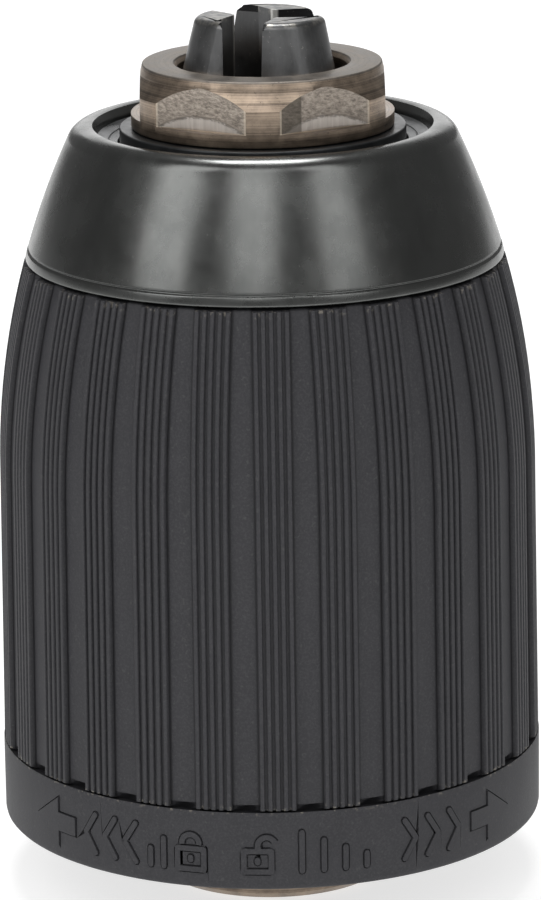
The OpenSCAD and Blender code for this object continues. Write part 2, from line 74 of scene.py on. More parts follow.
EDGE_FAR, EDGE_NEAR = 2.32, 2.14    # radii between which a jaw's bright gripping edge begins


def box_mm(node):
    """Lowest and highest corner of a CAD node, in millimetres."""
    low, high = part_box(node)
    return Vector(low) / MM, Vector(high) / MM


SLEEVE_LOW, SLEEVE_HIGH = (corner.z for corner in box_mm("grip_sleeve"))
COLLAR_LOW, COLLAR_HIGH = (corner.z for corner in box_mm("front_collar"))
RING_LOW, RING_HIGH = (corner.z for corner in box_mm("nose_ring"))
WASHER_LOW, WASHER_HIGH = (corner.z for corner in box_mm("front_washer"))
COVER_LOW, COVER_HIGH = (corner.z for corner in box_mm("rear_cover"))
BAND_TOP = SLEEVE_LOW + BAND_H
JAW_TIP = box_mm("jaw_a")[1].z


def outline_r(z):
    """Radius of the crowned outline that the sleeve and the collar share."""
    if z <= CROWN_Z:
        return SLEEVE_R - 0.05 - 0.25 * (z - BAND_TOP) / (CROWN_Z - BAND_TOP)
    return CROWN_R - CROWN_RADIUS + math.sqrt(CROWN_RADIUS ** 2 - (z - CROWN_Z) ** 2)


def spaced(first, last, count):
    """Evenly spaced numbers from first to last, both included."""
    return [first + (last - first) * i / (count - 1) for i in range(count)]


# ---------------------------------------------------------------- modelling helpers
def deselect():
    """Leaves edit mode and selects nothing."""
    if bpy.context.object and bpy.context.object.mode != "OBJECT":
        bpy.ops.object.mode_set(mode="OBJECT")
    bpy.ops.object.select_all(action="DESELECT")


def named(name):
    """Names the object that was just added, and returns it."""
    piece = bpy.context.object
    piece.name = piece.data.name = name
    return piece


def edit(piece):
    """Opens one piece in edit mode."""
    deselect()
    piece.select_set(True)
    bpy.context.view_layer.objects.active = piece
    bpy.ops.object.mode_set(mode="EDIT")


def place(piece):
    """Moves the object's place, turn and scale into its mesh."""
    deselect()
    piece.select_set(True)
    bpy.context.view_layer.objects.active = piece
    bpy.ops.object.transform_apply(location=True, rotation=True, scale=True)
    return piece


def clean(piece, smooth=30.0, gap=1e-7):
    """Merges doubles, turns the faces outwards and shades by angle. No gap merges nothing."""
    edit(piece)
    bpy.ops.mesh.select_all(action="SELECT")
    if gap:
        bpy.ops.mesh.remove_doubles(threshold=gap)
    bpy.ops.mesh.normals_make_consistent(inside=False)
    bpy.ops.object.mode_set(mode="OBJECT")
    bpy.ops.object.shade_smooth_by_angle(angle=math.radians(smooth))
    return piece


def modify(piece, kind, **settings):
    """Adds a modifier with its settings and applies it."""
    deselect()
    piece.select_set(True)
    bpy.context.view_layer.objects.active = piece
    modifier = piece.modifiers.new(kind.lower(), kind)
    for key, value in settings.items():
        setattr(modifier, key, value)
    bpy.ops.object.modifier_apply(modifier=modifier.name)
    return piece


def cut(piece, *cutters):
    """Takes each cutter's solid away from the piece, and deletes the cutter."""
    for cutter in cutters:
        modify(piece, "BOOLEAN", operation="DIFFERENCE", solver="MANIFOLD", object=cutter)
        bpy.data.objects.remove(cutter, do_unlink=True)
    return piece


def join(name, pieces):
    """Joins pieces into the first, under a new name."""
    deselect()
    for piece in pieces:
        piece.select_set(True)
    bpy.context.view_layer.objects.active = pieces[0]
    bpy.ops.object.join()
    return named(name)


def copy_turned(piece, angle):
    """A copy with its own mesh, turned about the chuck's axis by an angle in degrees."""
    twin = piece.copy()
    twin.data = piece.data.copy()
    bpy.context.collection.objects.link(twin)
    twin.data.transform(Matrix.Rotation(math.radians(angle), 4, "Z"))
    return twin


def rounded(corners, steps=4):
    """Outline points from (radius, height, fillet) corners: each fillet becomes an arc."""
    points = []
    count = len(corners)
    for i, (r, z, fillet) in enumerate(corners):
        here = Vector((r, z))
        if not fillet:
            points.append(here)
            continue
        before = (Vector(corners[i - 1][:2]) - here).normalized()
        after = (Vector(corners[(i + 1) % count][:2]) - here).normalized()
        half = before.angle(after) / 2
        reach = fillet / math.tan(half)
        centre = here + (before + after).normalized() * fillet / math.sin(half)
        start = here + before * reach - centre
        turn = math.pi - 2 * half
        if before.x * after.y - before.y * after.x > 0:
            turn = -turn
        for k in range(steps + 1):
            a = turn * k / steps
            spun = Vector((start.x * math.cos(a) - start.y * math.sin(a),
                           start.x * math.sin(a) + start.y * math.cos(a)))
            points.append(centre + spun)
    return points


def turned(name, outline, sides=192, smooth=30.0):
    """A lathe-turned ring: one circle is extruded and scaled round its closed outline."""
    deselect()
    points = [Vector(p[:2]) * MM for p in outline]
    first = points[0]
    bpy.ops.mesh.primitive_circle_add(vertices=sides, radius=first.x, location=(0, 0, first.y))
    piece = place(named(name))
    edit(piece)
    bpy.ops.mesh.select_all(action="SELECT")
    here = first
    for point in points[1:] + [first]:
        bpy.ops.mesh.extrude_edges_move(
            TRANSFORM_OT_translate={"value": (0, 0, point.y - here.y)})
        scale = point.x / here.x
        bpy.ops.transform.resize(value=(scale, scale, 1), center_override=(0, 0, point.y))
        here = point
    bpy.ops.object.mode_set(mode="OBJECT")
    return clean(piece, smooth)


def prism(name, outline, low, high):
    """A straight block with the given outline in X and Y, all in millimetres."""
    deselect()
    bpy.ops.mesh.primitive_circle_add(vertices=len(outline), radius=MM)
    piece = named(name)
    for vertex, (x, y) in zip(piece.data.vertices, outline):
        vertex.co = (x * MM, y * MM, low * MM)
    edit(piece)
    bpy.ops.mesh.select_all(action="SELECT")
    bpy.ops.mesh.edge_face_add()
    bpy.ops.mesh.extrude_region_move(
        TRANSFORM_OT_translate={"value": (0, 0, (high - low) * MM)})
    bpy.ops.object.mode_set(mode="OBJECT")
    return clean(piece)


# ---------------------------------------------------------------- shader helpers
class Value:
    """One output socket of a material's nodes, on which Python's operators add Math nodes."""

    def __init__(self, paint, socket):
        self.paint = paint
        self.socket = socket

    def _math(self, operation, *values):
        return self.paint.node("ShaderNodeMath", {"operation": operation},
                               **{str(i): v for i, v in enumerate(values)})

    def __add__(self, other): return self._math("ADD", self, other)
    def __sub__(self, other): return self._math("SUBTRACT", self, other)
    def __rsub__(self, other): return self._math("SUBTRACT", other, self)
    def __mul__(self, other): return self._math("MULTIPLY", self, other)
    def __truediv__(self, other): return self._math("DIVIDE", self, other)
    def __pow__(self, other): return self._math("POWER", self, other)
    def __abs__(self): return self._math("ABSOLUTE", self)


class Paint:
    """One material and its node tree. Lengths in its coordinates are millimetres."""

    def __init__(self, name, **constants):
        self.material = bpy.data.materials.new(name)
        self.material.use_nodes = True
        self.tree = self.material.node_tree
        self.shader = self.tree.nodes["Principled BSDF"]
        for key, value in constants.items():
            self.shader.inputs[key.replace("_", " ")].default_value = value
        place_node = self.tree.nodes.new("ShaderNodeTexCoord")
        self.mm = self.node("ShaderNodeVectorMath", {"operation": "SCALE"},
                            **{"0": Value(self, place_node.outputs["Object"]), "Scale": 1 / MM})
        parts = self.tree.nodes.new("ShaderNodeSeparateXYZ")
        self.tree.links.new(self.mm.socket, parts.inputs[0])
        self.x, self.y, self.z = (Value(self, out) for out in parts.outputs)
        self.r = (self.x * self.x + self.y * self.y) ** 0.5
        self.turn = self.node("ShaderNodeMath", {"operation": "ARCTAN2"},
                              **{"0": self.y, "1": self.x})

    def node(self, kind, settings=None, **inputs):
        """Adds a node: settings first, then socket values or links. Returns its first output."""
        made = self.tree.nodes.new(kind)
        for key, value in (settings or {}).items():
            setattr(made, key, value)
        for key, value in inputs.items():
            socket = made.inputs[int(key)] if key.isdigit() else made.inputs[key.replace("_", " ")]
            if isinstance(value, Value):
                self.tree.links.new(value.socket, socket)
            else:
                socket.default_value = value
        return Value(self, made.outputs[0])

    def vector(self, x, y, z):
        return self.node("ShaderNodeCombineXYZ", **{"0": x, "1": y, "2": z})

    def noise(self, per_mm, detail=2.0, rough=0.5, where=None):
        """Noise from 0 to 1 with so many features to the millimetre."""
        return self.node("ShaderNodeTexNoise", Vector=where or self.mm, Scale=per_mm,
                         Detail=detail, Roughness=rough)

    def step(self, value, low, high, to_low=0.0, to_high=1.0):
        """A smooth step of a value between two levels."""
        return self.node("ShaderNodeMapRange", {"interpolation_type": "SMOOTHSTEP"}, Value=value,
                         From_Min=low, From_Max=high, To_Min=to_low, To_Max=to_high)

    def mix(self, share, a, b):
        """A colour between a and b."""
        made = self.tree.nodes.new("ShaderNodeMix")
        made.data_type = "RGBA"
        for socket, value in ((made.inputs[0], share), (made.inputs[6], a), (made.inputs[7], b)):
            if isinstance(value, Value):
                self.tree.links.new(value.socket, socket)
            elif isinstance(value, tuple):
                socket.default_value = value + (1,) * (4 - len(value))
            else:
                socket.default_value = value
        return Value(self, made.outputs[2])

    def bump(self, height, depth, strength):
        """Bump from a height that runs 0 to 1 over a depth in millimetres."""
        return self.node("ShaderNodeBump", Height=height, Strength=strength, Distance=depth * MM)

    def set(self, **sockets):
        for key, value in sockets.items():
            self.tree.links.new(value.socket, self.shader.inputs[key.replace("_", " ")])
        return self.material


# ---------------------------------------------------------------- materials
def grip_plastic():
    """Charcoal moulding: fine grain, painted shade in the grooves between the ribs, along the rib
    groups' feet and in the pockets at the channels' ends, rubbed pale at the ribs' ends.
    """
    p = Paint("grip_plastic", IOR=1.46, Specular_IOR_Level=0.30)
    grain = p.noise(5.5, detail=3, rough=0.65)
    mottle = p.noise(0.35, detail=4, rough=0.6)
    flow = p.noise(1.0, detail=3, where=p.vector(p.x * 1.4, p.y * 1.4, p.z * 0.16))
    fibre = p.step(p.noise(3.2, detail=1), 0.66, 0.74)
    colour = p.mix(mottle, (0.025, 0.025, 0.028), (0.036, 0.036, 0.040))
    colour = p.mix(flow * 0.35, colour, (0.048, 0.048, 0.053))
    colour = p.mix(p.step(grain, 0.40, 0.68) * 0.40, colour, (0.070, 0.068, 0.072))
    colour = p.mix(fibre * 0.30, colour, (0.085, 0.085, 0.083))

    above = p.node("ShaderNodeMath", {"operation": "MAXIMUM"}, **{"0": p.z - CROWN_Z, "1": 0.0})
    below = p.node("ShaderNodeMath", {"operation": "MAXIMUM"}, **{"0": CROWN_Z - p.z, "1": 0.0})
    crown = (CROWN_RADIUS ** 2 - above * above) ** 0.5 - (CROWN_RADIUS - CROWN_R)
    depth = crown + below * 0.0116 - p.r
    sector = 2 * math.pi / RIB_GROUPS
    turns = (p.turn - math.radians(FIRST_RIB_ANGLE) + 2 * math.pi) / sector + 0.5
    phase = p.node("ShaderNodeMath", {"operation": "FRACT"}, **{"0": turns}) - 0.5
    side = abs(phase * sector * p.r)
    on_ribs = p.step(p.z, BAND_TOP - 0.15, BAND_TOP + 0.05)
    # Painted shade masks: the grooves between ridges, the foot beside each rib group and the pockets
    # where the channels meet the band.
    groove = p.step(depth, 0.06, 0.26) * p.step(side, 1.46, 1.38) * on_ribs
    foot = p.step(side, 1.62, 1.46) * p.step(depth, 0.30, 0.40) * on_ribs
    pocket = p.step(depth, 0.48, 0.62) * p.step(p.z, BAND_TOP + 0.6, BAND_TOP + 0.2)
    # The share of painted shade in the ribs' recesses, mixed into the colour.
    dark = groove * 0.18 + foot * 0.55 + pocket * 0.7
    colour = p.mix(dark, colour, (0.003, 0.003, 0.004))

    edge = (p.step(abs(p.z - BAND_TOP), 0.50, 0.0)
            + p.step(p.z, SLEEVE_HIGH - 0.7, SLEEVE_HIGH - 0.3) * 0.7)
    rubbed = edge * p.step(p.noise(2.9, detail=3), 0.54, 0.70) * p.step(depth, 0.45, 0.2)
    colour = p.mix(rubbed * 0.8, colour, (0.22, 0.20, 0.17))
    rough = p.step(grain, 0.2, 0.8, 0.50, 0.66) - rubbed * 0.1
    return p.set(Base_Color=colour, Roughness=rough, Normal=p.bump(grain, 0.035, 0.6))


def collar_steel():
    """Black nitrided steel, glossy, with faint drawn streaks and small pale specks."""
    p = Paint("collar_steel", Metallic=1.0)
    streak = p.noise(1.0, detail=4, rough=0.6,
                     where=p.vector(p.turn * 5.5, p.r * 0.05, p.z * 0.10))
    cloud = p.noise(0.22, detail=4, rough=0.62)
    fine = p.noise(9.0, detail=2)
    speck = p.step(p.noise(5.5, detail=3, rough=0.7), 0.68, 0.80)
    colour = p.mix(streak, (0.076, 0.079, 0.077), (0.164, 0.164, 0.158))
    colour = p.mix(cloud * 0.5, colour, (0.114, 0.121, 0.120))
    colour = p.mix(speck * 0.35, colour, (0.36, 0.35, 0.32))
    rough = p.step(cloud, 0.25, 0.75, 0.20, 0.32) + speck * 0.2
    height = fine * 0.5 + streak * 0.5
    return p.set(Base_Color=colour, Roughness=rough, Normal=p.bump(height, 0.006, 0.5))


def turned_steel():
    """Browned turned steel: fine rings left by the lathe, and a thin brown film."""
    p = Paint("turned_steel", Metallic=1.0)
    rings = p.noise(1.0, detail=6, rough=0.75, where=p.vector(p.r * 8.0, p.z * 8.0, 0.3))
    broad = p.noise(1.0, detail=3, where=p.vector(p.r * 1.6, p.z * 1.6, 4.0))
    film = p.noise(0.55, detail=5, rough=0.65)
    pits = p.step(p.noise(4.5, detail=3, rough=0.7), 0.60, 0.74)
    tone = rings * 0.45 + broad * 0.25 + film * 0.35
    colour = p.mix(p.step(tone, 0.36, 0.72), (0.110, 0.088, 0.072), (0.50, 0.395, 0.300))
    face = p.step(p.z, BODY_LEN - 0.20, BODY_LEN - 0.04)
    colour = p.mix(face * 0.7, colour, p.mix(film, (0.11, 0.105, 0.10), (0.28, 0.27, 0.25)))
    colour = p.mix(pits * 0.6, colour, (0.045, 0.040, 0.036))
    rough = p.step(film, 0.2, 0.8, 0.26, 0.42) + pits * 0.2 + face * 0.14
    return p.set(Base_Color=colour, Roughness=rough, Normal=p.bump(rings, 0.014, 0.6))


def flat_steel():
    """Hexagon flats: pale metal, torn where the cutter ran out and combed upright below, with painted
    highlights along their edges and a painted dark strip down one side.
    """
    p = Paint("flat_steel", Metallic=0.9)
    sixth = math.pi / 3
    phase = p.node("ShaderNodeMath", {"operation": "FRACT"},
                   **{"0": p.turn / sixth + 6.5}) - 0.5
    across = phase * sixth * p.r
    side = abs(across)
    rise = 1.05 - side * side * 0.070
    rough_part = p.step(p.z - HEX_LOW - rise + p.noise(1.6, detail=3) * 0.5 - 0.25, -0.10, 0.10)
    torn = p.noise(1.0, detail=5, rough=0.75,
                   where=p.vector(p.x * 2.2 + p.z * 1.2, p.y * 2.2, p.z * 4.6))
    comb = p.noise(1.0, detail=3, where=p.vector(p.x * 4.0, p.y * 4.0, p.z * 0.25))
    colour = p.mix(p.step(torn, 0.28, 0.72), (0.19, 0.163, 0.138), (0.56, 0.49, 0.42))
    combed = p.mix(comb, (0.34, 0.30, 0.27), (0.60, 0.55, 0.50))
    colour = p.mix(rough_part, combed, colour)
    line = p.step(abs(p.z - HEX_LOW - rise), 0.20, 0.04) * p.step(torn, 0.40, 0.60)
    colour = p.mix(line * 0.6, colour, (0.05, 0.045, 0.04))
    # Painted shade: a darker strip down one side of the flats on the +X side of the nose.
    painted_shade_strip = p.step(across, -2.0, -2.15) * p.step(p.x, 0.5, 1.0)
    colour = p.mix(painted_shade_strip * 0.7, colour, (0.09, 0.078, 0.062))
    # Painted highlight: bright lines along the flats' side edges and their lower edge, standing in
    # for lit edge bevels.
    painted_edge_highlight = p.step(side, 3.86, 3.93) + p.step(p.z, HEX_LOW + 0.09, HEX_LOW + 0.03)
    colour = p.mix(painted_edge_highlight * 0.55, colour, (0.72, 0.62, 0.50))
    rough = rough_part * 0.16 + 0.34
    height = p.mix(rough_part, comb, torn)
    return p.set(Base_Color=colour, Roughness=rough, Normal=p.bump(height, 0.10, 0.55))


def jaw_steel():
    """Dark oxide on ground steel: pale dust in the pores, and a gripping edge ground bright."""
    p = Paint("jaw_steel", Metallic=1.0)
    cloud = p.noise(0.7, detail=5, rough=0.65)
    ground = p.noise(1.0, detail=4, where=p.vector(p.x * 4.0, p.y * 4.0, p.z * 0.5))
    dust = p.step(p.noise(4.6, detail=2, rough=0.7), 0.67, 0.78)
    colour = p.mix(cloud, (0.060, 0.061, 0.062), (0.155, 0.156, 0.158))
    colour = p.mix(ground * 0.4, colour, (0.20, 0.20, 0.20))
    colour = p.mix(dust * 0.6, colour, (0.42, 0.40, 0.36))
    tip = p.step(p.z, JAW_TIP - 0.55, JAW_TIP - 0.1) * p.step(p.noise(1.6, detail=4), 0.42, 0.66)
    colour = p.mix(tip * 0.6, colour, (0.42, 0.40, 0.36))
    edge = p.step(p.r, EDGE_FAR, EDGE_NEAR)
    colour = p.mix(edge, colour, p.mix(cloud, (0.45, 0.45, 0.43), (0.80, 0.79, 0.75)))
    rough = p.step(cloud, 0.2, 0.8, 0.30, 0.46) - edge * 0.05
    return p.set(Base_Color=colour, Roughness=rough, Normal=p.bump(ground, 0.02, 0.5))


def jaw_black():
    """The jaws' flats: a thick dull oxide with pale dust, and the gripping edge ground bright."""
    p = Paint("jaw_black", Metallic=0.8)
    cloud = p.noise(0.9, detail=5, rough=0.65)
    dust = p.step(p.noise(4.6, detail=2, rough=0.7), 0.66, 0.78)
    colour = p.mix(cloud, (0.008, 0.008, 0.009), (0.026, 0.026, 0.027))
    colour = p.mix(dust * 0.5, colour, (0.20, 0.19, 0.17))
    edge = p.step(p.r, EDGE_FAR, EDGE_NEAR)
    colour = p.mix(edge, colour, p.mix(cloud, (0.45, 0.45, 0.43), (0.80, 0.79, 0.75)))
    return p.set(Base_Color=colour, Roughness=p.step(cloud, 0.2, 0.8, 0.42, 0.58),
                 Normal=p.bump(cloud, 0.02, 0.5))


def black_oxide():
    """Smooth black oxide over turned steel."""
    p = Paint("black_oxide", Metallic=0.6)
    rings = p.noise(1.0, detail=4, where=p.vector(p.r * 5.0, p.z * 5.0, 0.0))
    cloud = p.noise(0.8, detail=4)
    colour = p.mix(cloud, (0.010, 0.011, 0.012), (0.040, 0.042, 0.044))
    return p.set(Base_Color=colour, Roughness=p.step(cloud, 0.2, 0.8, 0.30, 0.42),
                 Normal=p.bump(rings, 0.006, 0.4))


def washer_steel():
    """Satin plated steel with light rings."""
    p = Paint("washer_steel", Metallic=0.9)
    rings = p.noise(1.0, detail=5, where=p.vector(p.r * 6.0, p.z * 6.0, 1.0))
    cloud = p.noise(0.6, detail=4)
    colour = p.mix(rings * 0.6 + cloud * 0.4, (0.07, 0.072, 0.075), (0.24, 0.245, 0.25))
    return p.set(Base_Color=colour, Roughness=p.step(cloud, 0.2, 0.8, 0.24, 0.38),
                 Normal=p.bump(rings, 0.006, 0.4))


def cover_plastic():
    """Plain black moulding of the rear cover."""
    p = Paint("cover_plastic", IOR=1.46)
    grain = p.noise(4.0, detail=3)
    cloud = p.noise(0.3, detail=4)
    colour = p.mix(cloud, (0.020, 0.020, 0.022), (0.036, 0.036, 0.039))
    return p.set(Base_Color=colour, Roughness=p.step(grain, 0.2, 0.8, 0.42, 0.58),
                 Normal=p.bump(grain, 0.02, 0.5))


def inner_metal(name, dark, light, smooth, rough):
    """Ground or polished metal of the parts inside."""
    p = Paint(name, Metallic=1.0)
    rings = p.noise(1.0, detail=4, where=p.vector(p.r * 6.0, p.z * 6.0, 2.0))
    cloud = p.noise(0.5, detail=4, rough=0.6)
    colour = p.mix(rings * 0.5 + cloud * 0.5, dark, light)
    return p.set(Base_Color=colour, Roughness=p.step(cloud, 0.2, 0.8, smooth, rough),
                 Normal=p.bump(rings, 0.004, 0.4))


INNER_METALS = {
    "hardened_steel": ((0.20, 0.20, 0.21), (0.48, 0.48, 0.49), 0.24, 0.38),
    "bearing_steel": ((0.50, 0.51, 0.53), (0.74, 0.75, 0.77), 0.08, 0.18),
    "nut_steel": ((0.20, 0.19, 0.17), (0.42, 0.40, 0.37), 0.30, 0.46),
    "cage_brass": ((0.42, 0.29, 0.10), (0.72, 0.54, 0.24), 0.20, 0.34),
}
MATERIALS = {
    "grip_plastic": grip_plastic(),
    "collar_steel": collar_steel(),
    "turned_steel": turned_steel(),
    "flat_steel": flat_steel(),
    "jaw_steel": jaw_steel(),
    "jaw_black": jaw_black(),
    "black_oxide": black_oxide(),
    "washer_steel": washer_steel(),
    "cover_plastic": cover_plastic(),
}
for metal, looks in INNER_METALS.items():
    MATERIALS[metal] = inner_metal(metal, *looks)


def dress(piece, *slots):
    """Gives a piece the materials of these slots, in this order."""
    piece.data.materials.clear()
    for slot in slots:
        piece.data.materials.append(MATERIALS[slot])
    return piece


for part in frame["record"]["subparts"]:
    for material_slot in frame["nodes"][part["node"]].material_slots:
        material_slot.material = MATERIALS[part["material_slot"]]


# ---------------------------------------------------------------- grip sleeve
RIB_WIDTH, RIB_PITCH, RIB_HEIGHT = 0.41, 0.60, 0.22
CHANNEL_DEPTH = 0.42
POCKET_DEPTH, POCKET_H = 0.55, 0.36


def sleeve_section():
    """One sector's cross-section: (sideways, depth below the outline, side of the sector)."""
    points = [(-1.0, CHANNEL_DEPTH)]
    half = RIB_WIDTH / 2
    for rib in range(-2, 3):
        middle = rib * RIB_PITCH
        points += [(middle - half, CHANNEL_DEPTH if rib == -2 else RIB_HEIGHT),
                   (middle - half + 0.02, 0.07), (middle - half + 0.08, 0.0),
                   (middle + half - 0.08, 0.0), (middle + half - 0.02, 0.07),
                   (middle + half, CHANNEL_DEPTH if rib == 2 else RIB_HEIGHT)]
    points.append((1.0, CHANNEL_DEPTH))
    return points


def rib_sector():
    """One rib group with half a channel on each side, extruded up the crowned outline."""
    deselect()
    section = sleeve_section()
    half_angle = math.radians(180 / RIB_GROUPS)
    levels = ([BAND_TOP, BAND_TOP + POCKET_H * 0.5, BAND_TOP + POCKET_H]
              + spaced(BAND_TOP + 2.0, CROWN_Z, 4) + spaced(CROWN_Z, SLEEVE_HIGH - 0.14, 13)[1:])

    def spot(i, z):
        side, depth = section[i]
        if i in (0, len(section) - 1):
            depth += POCKET_DEPTH * max(0.0, 1 - (z - BAND_TOP) / POCKET_H) ** 0.5
        r = outline_r(z) - depth
        if i in (0, len(section) - 1):
            side = math.copysign(r * math.sin(half_angle), side)
            return Vector((r * math.cos(half_angle), side, z)) * MM
        return Vector((math.sqrt(r * r - side * side), side, z)) * MM

    bpy.ops.mesh.primitive_circle_add(vertices=len(section), radius=MM)
    piece = named("rib_sector")
    for i, vertex in enumerate(piece.data.vertices):
        vertex.co = spot(i, levels[0])
    mesh = bmesh.new()
    mesh.from_mesh(piece.data)
    mesh.edges.ensure_lookup_table()
    mesh.edges.remove([e for e in mesh.edges
                       if {v.index for v in e.verts} == {0, len(section) - 1}][0])
    mesh.to_mesh(piece.data)
    mesh.free()
    edit(piece)
    bpy.ops.mesh.select_all(action="SELECT")
    for z in levels[1:]:
        bpy.ops.mesh.extrude_edges_move(TRANSFORM_OT_translate={"value": (0, 0, 0)})
        mesh = bmesh.from_edit_mesh(piece.data)
        moved = sorted((v for v in mesh.verts if v.select), key=lambda v: v.co.y)
        for i, vertex in enumerate(moved):
            vertex.co = spot(i, z)
        bmesh.update_edit_mesh(piece.data)
    bpy.ops.object.mode_set(mode="OBJECT")
    return piece


def ring_select(piece, test):
    """Selects the boundary edges whose two ends pass a test of their place in millimetres."""
    mesh = bmesh.from_edit_mesh(piece.data)
    bpy.ops.mesh.select_all(action="DESELECT")
    mesh.select_mode = {"EDGE"}
    for edge in mesh.edges:
        edge.select_set(edge.is_boundary and all(test(v.co / MM) for v in edge.verts))
    mesh.select_flush_mode()
    bmesh.update_edit_mesh(piece.data)


def walk(piece, points):
    """Extrudes the selected loop of edges through round levels, each a (radius, height)."""
    for r, z in points:
        bpy.ops.mesh.extrude_edges_move(TRANSFORM_OT_translate={"value": (0, 0, 0)})
        mesh = bmesh.from_edit_mesh(piece.data)
        for vertex in (v for v in mesh.verts if v.select):
            flat = vertex.co.xy.normalized() * r * MM
            vertex.co = (flat.x, flat.y, z * MM)
        bmesh.update_edit_mesh(piece.data)


def grip_sleeve():
    """The sleeve's skin: rib sectors round the chuck, then its band, bores and front lip."""
    sector = rib_sector()
    sectors = [copy_turned(sector, FIRST_RIB_ANGLE + i * 360 / RIB_GROUPS)
               for i in range(RIB_GROUPS)]
    bpy.data.objects.remove(sector, do_unlink=True)
    piece = join("grip_sleeve_skin", sectors)
    edit(piece)
    bpy.ops.mesh.select_all(action="SELECT")
    bpy.ops.mesh.remove_doubles(threshold=1e-6)
    bpy.ops.mesh.select_mode(type="EDGE")
    low = BAND_TOP + 0.01
    ring_select(piece, lambda co: co.z < low)
    walk(piece, [(SLEEVE_R - 0.80, BAND_TOP - 0.28), (SLEEVE_R - 0.60, BAND_TOP - 0.36),
                 (SLEEVE_R - 0.16, BAND_TOP - 0.22), (SLEEVE_R - 0.04, BAND_TOP - 0.14),
                 (SLEEVE_R, BAND_TOP - 0.30), (SLEEVE_R, SLEEVE_LOW + 0.45),
                 (SLEEVE_R - 0.05, SLEEVE_LOW + 0.22), (SLEEVE_R - 0.20, SLEEVE_LOW + 0.06),
                 (SLEEVE_R - 0.42, SLEEVE_LOW), (19.9, SLEEVE_LOW), (19.62, SLEEVE_LOW + 0.25),
                 (COVER_R, COVER_LOW), (COVER_R, FRONT_BORE_Z), (FRONT_BORE_R, FRONT_BORE_Z)])
    high = SLEEVE_HIGH - 0.15
    ring_select(piece, lambda co: co.z > high and co.xy.length > 18.0)
    top = outline_r(SLEEVE_HIGH)
    walk(piece, [(top - 0.50, SLEEVE_HIGH - 0.03), (top - 0.62, SLEEVE_HIGH),
                 (FRONT_BORE_R, SLEEVE_HIGH)])
    ring_select(piece, lambda co: True)
    bpy.ops.mesh.bridge_edge_loops()
    bpy.ops.object.mode_set(mode="OBJECT")
    clean(piece, smooth=38.0, gap=2e-6)
    dress(piece, "grip_plastic")
    cut(piece, band_marks("mark_moats", MOAT_W, -MOAT_DEPTH, 0.5))
    return clean(piece, smooth=38.0, gap=0)


MARK_Z, MARK_H, STROKE = SLEEVE_LOW + 3.1, 3.1, 0.42
MARK_OUT, MARK_SUNK, MOAT_W, MOAT_DEPTH = 0.12, 0.25, 0.11, 0.14


def bar(x0, z0, x1, z1, width):
    """Outline of a straight stroke with round ends."""
    along = math.atan2(z1 - z0, x1 - x0)
    ends = ((x1, z1, along - math.pi / 2), (x0, z0, along + math.pi / 2))
    return [(x + math.cos(start + a) * width / 2, z + math.sin(start + a) * width / 2)
            for x, z, start in ends for a in spaced(0, math.pi, 5)]


def shackle(x, z, r, tilt, width):
    """Outline of a padlock's bow: half a ring over a middle point, swung open by a tilt."""
    arc = [math.radians(a) for a in spaced(-10 + tilt, 190 + tilt, 13)]
    outer = [(x + (r + width / 2) * math.cos(a), z + (r + width / 2) * math.sin(a)) for a in arc]
    inner = [(x + (r - width / 2) * math.cos(a), z + (r - width / 2) * math.sin(a)) for a in arc]
    return outer + inner[::-1]


def padlock(x, tilt, width):
    """A padlock, closed at no tilt. Its body is drawn with four strokes, 2.1 mm apart across."""
    low, shoulder = -MARK_H / 2, 0.1
    corners = [(x - 1.05, low), (x + 1.05, low), (x + 1.05, shoulder), (x - 1.05, shoulder)]
    sides = [bar(*corners[i - 1], *corners[i], width) for i in range(4)]
    shift = 0.7 if tilt else 0.0
    keyhole = bar(x, low + 0.75, x, low + 0.95, width)
    return sides + [keyhole, shackle(x + shift, 0.55, 0.68, tilt, width)]


def chevron(x, way, width):
    """The two strokes of a chevron that points left or right."""
    return [bar(x - way * 0.5, end * MARK_H / 2, x + way * 0.5, 0, width) for end in (1, -1)]


def arrow(tip, way, grow):
    """Outline of a broad arrow whose tip is at the given place round the band."""
    back, tail = tip - way * (2.9 + grow), tip - way * (4.9 + grow)
    wing, shaft = 1.95 + 2.2 * grow, 0.75 + grow
    return [[(tip + way * 1.7 * grow, 0), (back, wing), (back, shaft), (tail, shaft),
             (tail, -shaft), (back, -shaft), (back, -wing)]]


def band_marks(name, grow, low, high):
    """Generic marks round the band's front: arrows, chevrons, graded bars and two padlocks."""
    width = STROKE + 2 * grow
    outlines = arrow(-21.9, -1, grow) + arrow(22.0, 1, grow)
    outlines += padlock(-6.4, 0, width) + padlock(-1.2, 35, width)
    for i in range(3):
        outlines += chevron(-15.3 + i * 1.9, -1, width) + chevron(11.0 + i * 2.1, 1, width)
    bars = [(-9.7, -0.2), (-8.6, 0.7)] + [(2.2 + i * 1.7, MARK_H / 2 - i * 0.7) for i in range(4)]
    outlines += [bar(x, -MARK_H / 2, x, top, width) for x, top in bars]
    piece = join(name, [prism("mark", outline, low, high) for outline in outlines])
    edit(piece)
    for x in spaced(-23, 23, 47):
        bpy.ops.mesh.select_all(action="SELECT")
        bpy.ops.mesh.bisect(plane_co=(x * MM, 0, 0), plane_no=(1, 0, 0))
    bpy.ops.object.mode_set(mode="OBJECT")
    for vertex in piece.data.vertices:
        around, up, out = vertex.co / MM
        angle = around / SLEEVE_R - math.pi / 2
        r = SLEEVE_R + out
        vertex.co = Vector((r * math.cos(angle), r * math.sin(angle), MARK_Z + up)) * MM
    return dress(clean(piece, smooth=35.0, gap=0), "grip_plastic")


